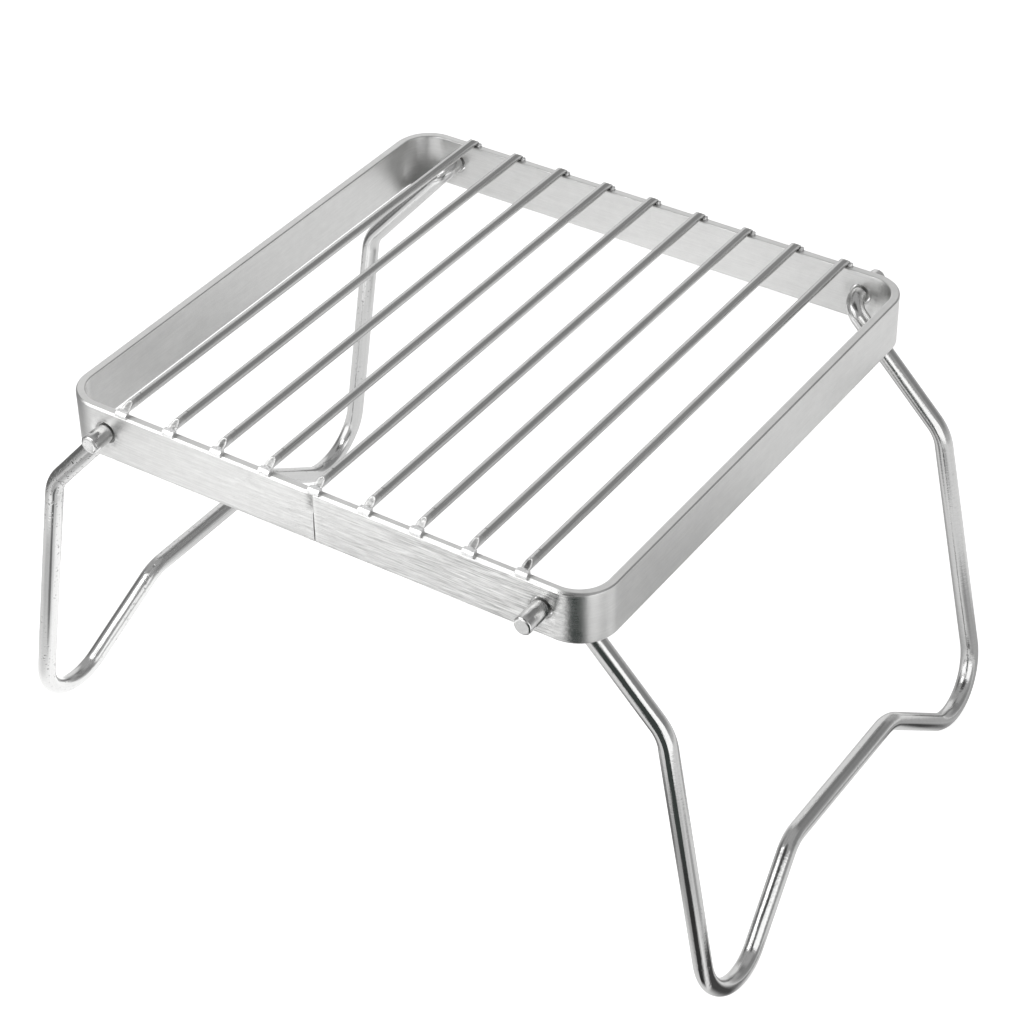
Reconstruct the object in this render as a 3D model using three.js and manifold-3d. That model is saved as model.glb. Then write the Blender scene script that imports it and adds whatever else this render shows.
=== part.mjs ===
// Folding camp grill: a rounded square band of flat stainless bar, nine rods
// across its top edge and two bent wire legs that fold in under the rods.
// Millimetres, +Z up, front wall towards -Y. The feet stand on z = 0.
import * as THREE from 'three';
import { mergeVertices } from 'three/addons/utils/BufferGeometryUtils.js';
import Module from 'manifold-3d';

const wasm = await Module();
wasm.setup();

// ---------------------------------------------------------------- dimensions
const FRAME_W = 165;          // outside, across the rods
const FRAME_L = 165;          // outside, along the rods
const BAR_H = 15.2;           // flat bar, standing on edge
const BAR_T = 2.5;            // flat bar thickness
const CORNER_R = 11;          // outside bend radius of the band
const SEAM_X = -0.2;          // butt seam in the front wall
const SEAM_GAP = 0.35;        // open lower part of the seam
const SEAM_OPEN = 9.2;        // height of the open part, from the lower edge

const ROD_D = 2.6;            // grate rod diameter
const ROD_COUNT = 9;
const ROD_PITCH = 15.43;
const ROD_FRONT = -80.9;      // lower front edge of a rod, on the front wall
const ROD_REAR = 82.5;        // rear end, level with the rear wall's outer face
const ROD_END_SLOPE = 2.3;    // length of the slope at the rear end
const ROD_END_H = 0.9;        // height left at the rear end
const ROD_BEVEL = 3.4;        // length of the ground slope at the front end

const WIRE_D = 5.2;           // leg wire diameter
const PIN_HOLE_D = 6.2;       // hole in the wall for a leg's pin end
const PIN_X = 67.5;           // pin axis from the frame's middle
const PIN_Z = -7.1;           // pin axis below the wall's upper edge
const BEND_PIN = 4.6;         // bend radii on the wire's centre line
const BEND_ELBOW = 13;
const BEND_FOOT = 15;
const BEND_MID = 12;

// pin: its end face from the middle. Corners of one leg, from its pin axis:
// out (away from the middle), y, down. The left wire is bent 2 degrees steeper.
const LEG_RIGHT = {
  pin: 91.0,
  elbow: [30.9, 74.4, -31.9],
  foot: [50.0, 77.2, -131.9],
  mid: [43.0, 28.0, -97.7],
};
const LEG_LEFT = {
  pin: 89.4,
  elbow: [28.6, 74.4, -32.3],
  foot: [44.7, 77.0, -130.5],
  mid: [39.6, 27.2, -98.8],
};

const WELD_W = 3.1;           // front weld block
const WELD_H = 1.15;
const TOUCH = 0.3;            // clearance kept where one piece is shaped to another

// ------------------------------------------------------------------- helpers
function solid(geometry) {
  const g = geometry.clone();
  g.deleteAttribute('normal');
  g.deleteAttribute('uv');
  const m = mergeVertices(g, 1e-4);
  return new wasm.Manifold(new wasm.Mesh({
    numProp: 3,
    vertProperties: new Float32Array(m.attributes.position.array),
    triVerts: new Uint32Array(m.index.array),
  }));
}

function geometryOf(manifold) {
  const mesh = manifold.getMesh();
  const g = new THREE.BufferGeometry();
  g.setAttribute('position', new THREE.BufferAttribute(new Float32Array(mesh.vertProperties), 3));
  g.setIndex(new THREE.BufferAttribute(new Uint32Array(mesh.triVerts), 1));
  g.computeVertexNormals();
  return g;
}

function boxBetween(lo, hi) {
  const g = new THREE.BoxGeometry(hi[0] - lo[0], hi[1] - lo[1], hi[2] - lo[2]);
  g.translate((lo[0] + hi[0]) / 2, (lo[1] + hi[1]) / 2, (lo[2] + hi[2]) / 2);
  return g;
}

function cylinderAlongY(diameter, y0, y1, x, z, sides) {
  const g = new THREE.CylinderGeometry(diameter / 2, diameter / 2, y1 - y0, sides, 1);
  g.rotateY(Math.PI / sides);
  g.translate(x, (y0 + y1) / 2, z);
  return g;
}

// A rounded rectangle outline in the XY plane.
function roundedOutline(PathClass, w, l, r) {
  const p = new PathClass();
  const x = w / 2, y = l / 2;
  p.moveTo(-x + r, -y);
  p.lineTo(x - r, -y);
  p.absarc(x - r, -y + r, r, -Math.PI / 2, 0, false);
  p.lineTo(x, y - r);
  p.absarc(x - r, y - r, r, 0, Math.PI / 2, false);
  p.lineTo(-x + r, y);
  p.absarc(-x + r, y - r, r, Math.PI / 2, Math.PI, false);
  p.lineTo(-x, -y + r);
  p.absarc(-x + r, -y + r, r, Math.PI, 1.5 * Math.PI, false);
  return p;
}

// The centre line of a bent wire: straight runs with a round bend at each
// corner, sampled where the wire turns.
class BentWire extends THREE.Curve {
  constructor(corners, radii, degreesPerStep = 9) {
    super();
    const pts = [corners[0].clone()];
    const tan = [corners[1].clone().sub(corners[0]).normalize()];
    for (let i = 1; i < corners.length - 1; i++) {
      const u = corners[i - 1].clone().sub(corners[i]).normalize();
      const v = corners[i + 1].clone().sub(corners[i]).normalize();
      const angle = u.angleTo(v);
      const turn = Math.PI - angle;
      const start = corners[i].clone().addScaledVector(u, radii[i] / Math.tan(angle / 2));
      const centre = corners[i].clone().addScaledVector(
        u.clone().add(v).normalize(), radii[i] / Math.sin(angle / 2));
      const e1 = start.clone().sub(centre).normalize();
      const e2 = u.clone().negate();
      const n = Math.max(3, Math.ceil((turn * 180 / Math.PI) / degreesPerStep));
      for (let k = 0; k <= n; k++) {
        const a = turn * k / n;
        pts.push(centre.clone()
          .addScaledVector(e1, radii[i] * Math.cos(a))
          .addScaledVector(e2, radii[i] * Math.sin(a)));
        tan.push(e2.clone().multiplyScalar(Math.cos(a)).addScaledVector(e1, -Math.sin(a)));
      }
    }
    const last = corners.length - 1;
    pts.push(corners[last].clone());
    tan.push(corners[last].clone().sub(corners[last - 1]).normalize());
    this.samples = pts;
    this.tangents = tan;
  }
  get steps() { return this.samples.length - 1; }
  getPoint(t, target = new THREE.Vector3()) {
    const s = Math.min(Math.max(t, 0), 1) * this.steps;
    const i = Math.min(Math.floor(s + 1e-9), this.steps - 1);
    return target.copy(this.samples[i]).lerp(this.samples[i + 1], s - i);
  }
  getPointAt(u, target) { return this.getPoint(u, target); }
  getTangent(t, target = new THREE.Vector3()) {
    const i = Math.round(Math.min(Math.max(t, 0), 1) * this.steps);
    return target.copy(this.tangents[i]);
  }
  getTangentAt(u, target) { return this.getTangent(u, target); }
}

function circleShape(diameter, sides) {
  const s = new THREE.Shape();
  for (let i = 0; i < sides; i++) {
    const a = 2 * Math.PI * (i + 0.5) / sides;
    const x = diameter / 2 * Math.cos(a), y = diameter / 2 * Math.sin(a);
    if (i === 0) s.moveTo(x, y); else s.lineTo(x, y);
  }
  s.closePath();
  return s;
}

// --------------------------------------------------------------------- parts
// z = 0 here is the upper edge of the walls; the whole grill is lifted onto
// its feet at the end.
const grill = new THREE.Group();

const satin = () => new THREE.MeshStandardMaterial({ color: 0xc9cac9, roughness: 0.42, metalness: 1.0 });
const rodSteel = () => new THREE.MeshStandardMaterial({ color: 0xa9a9a8, roughness: 0.34, metalness: 1.0 });
const polished = () => new THREE.MeshStandardMaterial({ color: 0xcfd0cf, roughness: 0.14, metalness: 1.0 });
const weldSteel = () => new THREE.MeshStandardMaterial({ color: 0xe2e2e0, roughness: 0.38, metalness: 1.0 });

function add(name, geometry, material) {
  const mesh = new THREE.Mesh(geometry, material);
  mesh.name = name;
  grill.add(mesh);
  return mesh;
}

// The band: one flat bar bent on its flat into a rounded square, butt joined
// in the middle of the front wall, with a pin hole near each end of the front
// and rear walls.
{
  const outline = roundedOutline(THREE.Shape, FRAME_W, FRAME_L, CORNER_R);
  outline.holes.push(roundedOutline(
    THREE.Path, FRAME_W - 2 * BAR_T, FRAME_L - 2 * BAR_T, CORNER_R - BAR_T));
  const ring = new THREE.ExtrudeGeometry(outline, { depth: BAR_H, bevelEnabled: false, curveSegments: 10 });
  ring.translate(0, 0, -BAR_H);
  let band = solid(ring);
  for (const sx of [-1, 1]) {
    for (const sy of [-1, 1]) {
      const y = sy * (FRAME_L / 2 - BAR_T / 2);
      band = band.subtract(solid(cylinderAlongY(PIN_HOLE_D, y - BAR_T, y + BAR_T, sx * PIN_X, PIN_Z, 24)));
    }
  }
  band = band.subtract(solid(boxBetween(
    [SEAM_X - SEAM_GAP / 2, -FRAME_L / 2 - 1, -BAR_H - 1],
    [SEAM_X + SEAM_GAP / 2, -FRAME_L / 2 + BAR_T + 1, -BAR_H + SEAM_OPEN])));
  add('frame_band', geometryOf(band), satin());
}

// The rods lie on the wall's upper edge. The front end is ground to a slope
// that runs down to the wall; the rear end slopes down to the wall's outer edge.
const rodX = (i) => (i - (ROD_COUNT - 1) / 2) * ROD_PITCH;
const rodZ = (ROD_D / 2) * Math.cos(Math.PI / 16);   // flats rest on the wall
for (let i = 0; i < ROD_COUNT; i++) {
  const x = rodX(i);
  let rod = solid(cylinderAlongY(ROD_D, ROD_FRONT, ROD_REAR, x, rodZ, 16));
  const wedge = new THREE.Shape();
  wedge.moveTo(ROD_FRONT - 1, 0.55 - ROD_D / ROD_BEVEL);
  wedge.lineTo(ROD_FRONT + ROD_BEVEL + 1, 0.55 + ROD_D * (1 + 1 / ROD_BEVEL));
  wedge.lineTo(ROD_FRONT - 1, 0.55 + ROD_D * (1 + 1 / ROD_BEVEL));
  wedge.closePath();
  const cut = new THREE.ExtrudeGeometry(wedge, { depth: 2 * ROD_D, bevelEnabled: false });
  cut.translate(0, 0, -ROD_D);
  cut.applyMatrix4(new THREE.Matrix4().makeBasis(
    new THREE.Vector3(0, 1, 0), new THREE.Vector3(0, 0, 1), new THREE.Vector3(1, 0, 0)));
  cut.translate(x, 0, 0);
  rod = rod.subtract(solid(cut));
  const fall = (ROD_D - ROD_END_H) / ROD_END_SLOPE;
  const rear = new THREE.Shape();
  rear.moveTo(ROD_REAR + 1, ROD_END_H - fall);
  rear.lineTo(ROD_REAR + 1, ROD_D + fall);
  rear.lineTo(ROD_REAR - ROD_END_SLOPE - 1, ROD_D + fall);
  rear.closePath();
  const tip = new THREE.ExtrudeGeometry(rear, { depth: 2 * ROD_D, bevelEnabled: false });
  tip.translate(0, 0, -ROD_D);
  tip.applyMatrix4(new THREE.Matrix4().makeBasis(
    new THREE.Vector3(0, 1, 0), new THREE.Vector3(0, 0, 1), new THREE.Vector3(1, 0, 0)));
  tip.translate(x, 0, 0);
  rod = rod.subtract(solid(tip));
  add(`grate_rod_${i + 1}`, geometryOf(rod), rodSteel());
}

// Front welds: a block across the wall's upper edge, ground flush with the
// wall's outer face, in front of each rod.
for (let i = 0; i < ROD_COUNT; i++) {
  const x = rodX(i);
  const side = new THREE.Shape();
  side.moveTo(-FRAME_L / 2, 0);
  side.lineTo(ROD_FRONT - TOUCH, 0);
  side.lineTo(ROD_FRONT - TOUCH, WELD_H);
  side.lineTo(-FRAME_L / 2 + 0.55, WELD_H * 0.9);
  side.lineTo(-FRAME_L / 2, WELD_H * 0.35);
  side.closePath();
  const block = new THREE.ExtrudeGeometry(side, { depth: WELD_W, bevelEnabled: false });
  block.translate(0, 0, -WELD_W / 2);
  block.applyMatrix4(new THREE.Matrix4().makeBasis(
    new THREE.Vector3(0, 1, 0), new THREE.Vector3(0, 0, 1), new THREE.Vector3(1, 0, 0)));
  block.translate(x, 0, 0);
  add(`weld_front_${i + 1}`, block, weldSteel());
}

// Rear welds: a bead on both sides of the rod that meets behind its end.
for (let i = 0; i < ROD_COUNT; i++) {
  const x = rodX(i);
  let bead = solid(boxBetween([x - 2.2, FRAME_L / 2 - 1.5, -0.9], [x + 2.2, FRAME_L / 2 + 0.55, 0.85]));
  bead = bead.subtract(solid(boxBetween([x - 4, FRAME_L / 2 - 5, -5], [x + 4, FRAME_L / 2 + 0.03, 0.02])));
  bead = bead.subtract(solid(cylinderAlongY(ROD_D + 0.5, FRAME_L / 2 - 4, FRAME_L / 2 + 0.03, x, rodZ, 16)));
  add(`weld_rear_${i + 1}`, geometryOf(bead), weldSteel());
}

// The legs: one wire each. The two ends turn out through the wall holes as
// pins; below the elbow the wire runs to a rounded foot at each side, then up
// to a raised middle.
function legGeometry(side, leg) {
  const at = ([out, y, down], sy) => new THREE.Vector3(side * (PIN_X + out), sy * y, PIN_Z + down);
  const half = (sy) => [
    new THREE.Vector3(side * PIN_X, sy * leg.pin, PIN_Z),
    new THREE.Vector3(side * PIN_X, sy * leg.elbow[1], PIN_Z),
    at(leg.elbow, sy), at(leg.foot, sy), at(leg.mid, sy),
  ];
  const corners = [...half(-1), ...half(1).reverse()];
  const radii = [0, BEND_PIN, BEND_ELBOW, BEND_FOOT, BEND_MID, BEND_MID, BEND_FOOT, BEND_ELBOW, BEND_PIN, 0];
  const path = new BentWire(corners, radii);
  return new THREE.ExtrudeGeometry(circleShape(WIRE_D, 16), { steps: path.steps, extrudePath: path, bevelEnabled: false });
}
const legRight = add('leg_right', legGeometry(1, LEG_RIGHT), polished());
const legLeft = add('leg_left', legGeometry(-1, LEG_LEFT), polished());

// Stand the grill on its feet, with the middle of its footprint at the origin.
grill.updateMatrixWorld(true);
const bounds = new THREE.Box3().setFromObject(grill);
grill.position.set(-(bounds.min.x + bounds.max.x) / 2, 0, -Math.min(
  new THREE.Box3().setFromObject(legRight).min.z,
  new THREE.Box3().setFromObject(legLeft).min.z));
grill.updateMatrixWorld(true);

export default grill;
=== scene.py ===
import math
import bpy
import bmesh
import numpy as np
from mathutils import Matrix, Vector, noise


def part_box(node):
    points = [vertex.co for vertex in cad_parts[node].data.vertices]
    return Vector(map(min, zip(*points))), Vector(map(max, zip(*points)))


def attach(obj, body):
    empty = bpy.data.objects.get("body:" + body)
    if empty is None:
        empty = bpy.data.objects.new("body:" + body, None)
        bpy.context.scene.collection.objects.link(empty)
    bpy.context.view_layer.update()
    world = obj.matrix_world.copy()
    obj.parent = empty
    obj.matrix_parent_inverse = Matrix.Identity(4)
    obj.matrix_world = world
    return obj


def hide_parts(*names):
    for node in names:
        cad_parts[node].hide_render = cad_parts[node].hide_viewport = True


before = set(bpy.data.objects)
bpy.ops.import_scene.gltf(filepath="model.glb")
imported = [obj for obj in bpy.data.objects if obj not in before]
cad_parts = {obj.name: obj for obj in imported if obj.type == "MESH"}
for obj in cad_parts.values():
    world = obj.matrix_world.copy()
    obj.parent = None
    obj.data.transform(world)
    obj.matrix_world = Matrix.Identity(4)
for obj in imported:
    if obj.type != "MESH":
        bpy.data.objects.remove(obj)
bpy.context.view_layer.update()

MM = 0.001

# ------------------------------------------------------------------ dimensions
# Millimetres, from the frame's middle and the walls' upper edge (z = 0).
W, L, BAR_H, BAR_T, CORNER_R = 165.0, 165.0, 15.2, 2.5, 11.0
SEAM_X, SEAM_OPEN = -0.2, 9.2
ROD_D, ROD_COUNT, ROD_PITCH = 2.6, 9, 15.43
ROD_FRONT, ROD_REAR, ROD_BEVEL = -80.9, 82.5, 3.4
ROD_END_SLOPE, ROD_END_H = 2.3, 0.9
WIRE_D, HOLE_D, PIN_X, PIN_Z = 5.2, 6.2, 67.5, -7.1
RADII = [0, 4.6, 13, 15, 12, 12, 15, 13, 4.6, 0]
LEGS = {
    "right": (1, 91.0, (30.9, 74.4, -31.9), (50.0, 77.2, -131.9), (43.0, 28.0, -97.7)),
    "left": (-1, 89.4, (28.6, 74.4, -32.3), (44.7, 77.0, -130.5), (39.6, 27.2, -98.8)),
}
WELD_W, WELD_H = 3.4, 1.4

band_lo, band_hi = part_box("frame_band")
OX, OY, OZ = (band_lo.x + band_hi.x) / 2, (band_lo.y + band_hi.y) / 2, band_hi.z


# --------------------------------------------------------------------- helpers
def to_world(v):
    """Millimetres from the frame's middle to metres in the row frame."""
    return np.asarray(v, float) * MM + np.array([OX, OY, OZ])


def mesh_object(name, verts, faces, sharp=32):
    me = bpy.data.meshes.new(name)
    me.from_pydata([tuple(v) for v in verts], [], [tuple(int(i) for i in f) for f in faces])
    me.validate()
    me.polygons.foreach_set("use_smooth", [True] * len(me.polygons))
    me.update()
    if sharp:
        me.set_sharp_from_angle(angle=math.radians(sharp))
    ob = bpy.data.objects.new(name, me)
    bpy.context.scene.collection.objects.link(ob)
    return ob


def applied(ob, name):
    """The object with its modifiers applied, as a new mesh."""
    bpy.context.view_layer.update()
    dg = bpy.context.evaluated_depsgraph_get()
    me = bpy.data.meshes.new_from_object(ob.evaluated_get(dg), preserve_all_data_layers=True, depsgraph=dg)
    me.name = name
    old = ob.data
    ob.modifiers.clear()
    ob.data = me
    bpy.data.meshes.remove(old)
    return ob


def rnd(i, k=0):
    """A fixed number from 0 to 1 for piece i."""
    return (math.sin(i * 127.1 + k * 311.7 + 17.3) * 43758.5453) % 1.0


def wob(x, y, z, seed=0.0):
    return noise.noise(Vector((x + seed, y - seed * 0.7, z + seed * 0.3)))


def attribute(ob, name, values):
    a = ob.data.attributes.new(name, "FLOAT_VECTOR", "POINT")
    a.data.foreach_set("vector", np.asarray(values, np.float32).ravel())


def uv_layer(ob, name, loop_uv):
    layer = ob.data.uv_layers.new(name=name)
    layer.data.foreach_set("uv", np.asarray(loop_uv, np.float32).ravel())


# ------------------------------------------------------------------- node kit
class Nodes:
    def __init__(self, tree):
        self.t = tree
        tree.nodes.clear()

    def new(self, kind, **props):
        n = self.t.nodes.new(kind)
        for k, v in props.items():
            setattr(n, k, v)
        return n

    def put(self, socket, value):
        if hasattr(value, "is_output"):
            self.t.links.new(value, socket)
        elif value is not None:
            socket.default_value = value

    def math(self, op, a, b=None, c=None, clamp=False):
        n = self.new("ShaderNodeMath", operation=op, use_clamp=clamp)
        for s, v in zip(n.inputs, (a, b, c)):
            self.put(s, v)
        return n.outputs[0]

    def vec(self, op, a, b=None):
        n = self.new("ShaderNodeVectorMath", operation=op)
        self.put(n.inputs[0], a)
        if b is not None:
            self.put(n.inputs[1], b)
        return n.outputs["Value"] if op in ("DOT_PRODUCT", "LENGTH", "DISTANCE") else n.outputs[0]

    def combine(self, x, y, z):
        n = self.new("ShaderNodeCombineXYZ")
        for s, v in zip(n.inputs, (x, y, z)):
            self.put(s, v)
        return n.outputs[0]

    def split(self, v):
        n = self.new("ShaderNodeSeparateXYZ")
        self.put(n.inputs[0], v)
        return n.outputs

    def ramp(self, v, a, b, lo=0.0, hi=1.0, smooth=True):
        n = self.new("ShaderNodeMapRange", interpolation_type="SMOOTHSTEP" if smooth else "LINEAR", clamp=True)
        for k, x in zip(("Value", "From Min", "From Max", "To Min", "To Max"), (v, a, b, lo, hi)):
            self.put(n.inputs[k], x)
        return n.outputs["Result"]

    def noise(self, v, scale=1.0, detail=3.0, rough=0.5, lac=2.0, dist=0.0):
        n = self.new("ShaderNodeTexNoise")
        self.put(n.inputs["Vector"], v)
        for k, x in (("Scale", scale), ("Detail", detail), ("Roughness", rough), ("Lacunarity", lac), ("Distortion", dist)):
            n.inputs[k].default_value = x
        return n.outputs["Fac"]

    def voronoi(self, v, scale, feature="F1", rand=1.0):
        n = self.new("ShaderNodeTexVoronoi", feature=feature)
        self.put(n.inputs["Vector"], v)
        n.inputs["Scale"].default_value = scale
        n.inputs["Randomness"].default_value = rand
        return n.outputs["Distance"]

    def mix(self, f, a, b, mode="MIX"):
        n = self.new("ShaderNodeMix", data_type="RGBA", blend_type=mode)
        self.put(n.inputs[0], f)
        for s, v in ((n.inputs[6], a), (n.inputs[7], b)):
            if isinstance(v, (int, float)):
                v = (v, v, v, 1.0)
            elif isinstance(v, tuple) and len(v) == 3:
                v = (*v, 1.0)
            self.put(s, v)
        return n.outputs[2]

    def lerp(self, f, a, b):
        n = self.new("ShaderNodeMix", data_type="FLOAT")
        self.put(n.inputs[0], f)
        self.put(n.inputs[2], a)
        self.put(n.inputs[3], b)
        return n.outputs[0]

    def uv(self, name):
        return self.new("ShaderNodeUVMap", uv_map=name).outputs[0]

    def attr(self, name):
        return self.new("ShaderNodeAttribute", attribute_name=name).outputs["Vector"]

    def obj(self):
        return self.new("ShaderNodeTexCoord").outputs["Object"]

    def scale(self, v, s):
        return self.vec("MULTIPLY", v, s)

    def bump(self, height, distance, strength=1.0, normal=None):
        n = self.new("ShaderNodeBump")
        n.inputs["Strength"].default_value = strength
        n.inputs["Distance"].default_value = distance
        self.put(n.inputs["Height"], height)
        if normal is not None:
            self.put(n.inputs["Normal"], normal)
        return n.outputs[0]

    def metal(self, colour, roughness, normal, metallic=1.0, **sockets):
        p = self.new("ShaderNodeBsdfPrincipled")
        self.put(p.inputs["Base Color"], colour)
        self.put(p.inputs["Roughness"], roughness)
        p.inputs["Metallic"].default_value = metallic
        if normal is not None:
            self.put(p.inputs["Normal"], normal)
        for k, v in sockets.items():
            self.put(p.inputs[k], v)
        o = self.new("ShaderNodeOutputMaterial")
        self.t.links.new(p.outputs[0], o.inputs[0])
        return p


def material(name):
    m = bpy.data.materials.new(name)
    m.use_nodes = True
    return m, Nodes(m.node_tree)


# ------------------------------------------------------------------ materials
PERIM = 4 * (W - 2 * CORNER_R) + 2 * math.pi * CORNER_R


def make_band_material():
    """Flat stainless bar. UV "bar": U is millimetres round the band (0 in the
    middle of the front wall, + to the right), V is millimetres above the lower
    edge. UV "depth": 0 on the outer face, 2.5 on the inner."""
    m, n = material("band_satin")
    u, v, _ = n.split(n.uv("bar"))
    d = n.split(n.uv("depth"))[0]
    outer = n.ramp(d, 0.9, 0.2)
    inner = n.ramp(d, 1.6, 2.3)
    face = n.math("ADD", outer, inner, clamp=True)

    def streaks(su, sv, detail, rough, seed, skew=0.0, dist=0.0):
        vv = n.math("ADD", v, n.math("MULTIPLY", u, skew)) if skew else v
        return n.noise(n.combine(n.math("MULTIPLY", u, su), n.math("MULTIPLY", vv, sv), seed), 1.0, detail, rough, 2.0, dist)

    # brushing lines along the bar: fine ones all over, coarse ones on the front wall
    fine = streaks(0.10, 7.0, 4, 0.65, 3.1, dist=0.15)
    mid = n.ramp(streaks(0.10, 3.1, 3, 0.55, 9.7, skew=-0.006, dist=0.25), 0.28, 0.72)
    coarse = n.ramp(streaks(0.17, 2.5, 3, 0.6, 21.3, skew=-0.018, dist=0.4), 0.30, 0.66)
    blot = n.noise(n.combine(n.math("MULTIPLY", u, 0.06), n.math("MULTIPLY", v, 0.11), 5.0), 1.0, 3, 0.55)
    cloud = n.ramp(n.noise(n.combine(n.math("MULTIPLY", u, 0.34), n.math("MULTIPLY", v, 0.42), 1.7), 1.0, 6, 0.68), 0.22, 0.78)
    grain = n.noise(n.combine(n.math("MULTIPLY", u, 3.2), n.math("MULTIPLY", v, 4.5), 8.0), 1.0, 2, 0.5)

    au = n.math("ABSOLUTE", u)
    front = n.math("MULTIPLY", n.ramp(au, 78, 64), outer)          # front wall's outer face
    right_part = n.math("MULTIPLY", n.ramp(u, -30, 62), front)      # coarser towards the right

    # pitted, scuffed skin round the pin holes and into the right corner
    hole_r = n.vec("LENGTH", n.combine(n.math("SUBTRACT", u, PIN_X), n.math("SUBTRACT", v, BAR_H + PIN_Z), 0.0))
    hole_l = n.vec("LENGTH", n.combine(n.math("ADD", u, PIN_X), n.math("SUBTRACT", v, BAR_H + PIN_Z), 0.0))
    near_r = n.math("MULTIPLY", n.ramp(hole_r, 8.5, 4.0), front)
    near_l = n.math("MULTIPLY", n.ramp(hole_l, 7.0, 3.4), front)
    near = n.math("MAXIMUM", near_r, near_l)
    corner_r = n.math("MULTIPLY", n.math("MULTIPLY", n.ramp(u, 66, 70), n.ramp(u, 80, 74)), outer)

    # base colour
    c = n.math("MULTIPLY", n.math("SUBTRACT", fine, 0.5), 0.10)
    k_mid = n.math("MULTIPLY", n.math("SUBTRACT", mid, 0.5), n.math("ADD", n.math("ADD", n.math("MULTIPLY", front, 0.05), n.math("MULTIPLY", right_part, 0.24)), 0.04))
    k_crs = n.math("MULTIPLY", n.math("SUBTRACT", coarse, 0.5), n.math("MULTIPLY", right_part, 0.30))
    k_blt = n.math("MULTIPLY", n.math("SUBTRACT", blot, 0.5), 0.10)
    k_cld = n.math("MULTIPLY", n.math("SUBTRACT", cloud, 0.5), n.math("ADD", n.math("MULTIPLY", n.math("MAXIMUM", near, corner_r), 0.22), 0.05))
    tone = n.math("ADD", n.math("ADD", n.math("ADD", c, k_mid), n.math("ADD", k_crs, k_blt)), n.math("ADD", k_cld, 0.70))
    # weld smudge beside the seam's closed upper part, and a bright ground strip on its right
    su = n.math("SUBTRACT", u, SEAM_X)
    up = n.ramp(v, 9.4, 11.4)
    smudge = n.math("MULTIPLY", n.math("MULTIPLY", n.ramp(su, -3.0, -0.4), n.ramp(su, 0.35, 0.05)), n.math("MULTIPLY", up, front))
    strip = n.math("MULTIPLY", n.math("MULTIPLY", n.ramp(su, 0.1, 0.4), n.ramp(su, 1.5, 0.7)), front)
    tone = n.math("ADD", tone, n.math("MULTIPLY", smudge, n.math("MULTIPLY", n.math("SUBTRACT", cloud, 1.05), 0.5)))
    tone = n.math("ADD", tone, n.math("MULTIPLY", strip, 0.06))
    # darker grey ring close to the holes: painted shade round the rims where the pins enter the wall
    ring = n.math("MULTIPLY", n.math("MAXIMUM", n.ramp(hole_r, 4.3, 3.2), n.ramp(hole_l, 4.6, 3.2)), front)
    tone = n.math("ADD", tone, n.math("MULTIPLY", ring, n.math("MULTIPLY", n.math("SUBTRACT", cloud, 0.75), 0.55)))
    tone = n.math("MULTIPLY", tone, 1.0, clamp=True)
    colour = n.combine(tone, tone, n.math("MULTIPLY", tone, 0.99))

    rough = n.math("ADD", n.math("MULTIPLY", n.math("SUBTRACT", fine, 0.5), 0.16), 0.33)
    rough = n.math("ADD", rough, n.math("MULTIPLY", n.math("SUBTRACT", blot, 0.5), 0.14))
    rough = n.math("ADD", rough, n.math("MULTIPLY", near, 0.04))
    rough = n.math("SUBTRACT", rough, n.math("MULTIPLY", corner_r, 0.13))
    rough = n.math("MAXIMUM", rough, 0.16)

    height = n.math("ADD", n.math("MULTIPLY", fine, 0.35), n.math("MULTIPLY", mid, n.math("ADD", n.math("MULTIPLY", front, 0.30), 0.25)))
    height = n.math("ADD", height, n.math("MULTIPLY", coarse, n.math("MULTIPLY", right_part, 0.8)))
    height = n.math("ADD", height, n.math("MULTIPLY", grain, 0.10))
    height = n.math("ADD", height, n.math("MULTIPLY", cloud, n.math("MULTIPLY", n.math("MAXIMUM", near, corner_r), 0.65)))
    height = n.math("ADD", n.math("MULTIPLY", height, n.math("ADD", n.math("MULTIPLY", face, 0.85), 0.15)), 0.0)
    n.metal(colour, rough, n.bump(height, 0.00006, 0.8))
    return m


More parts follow.
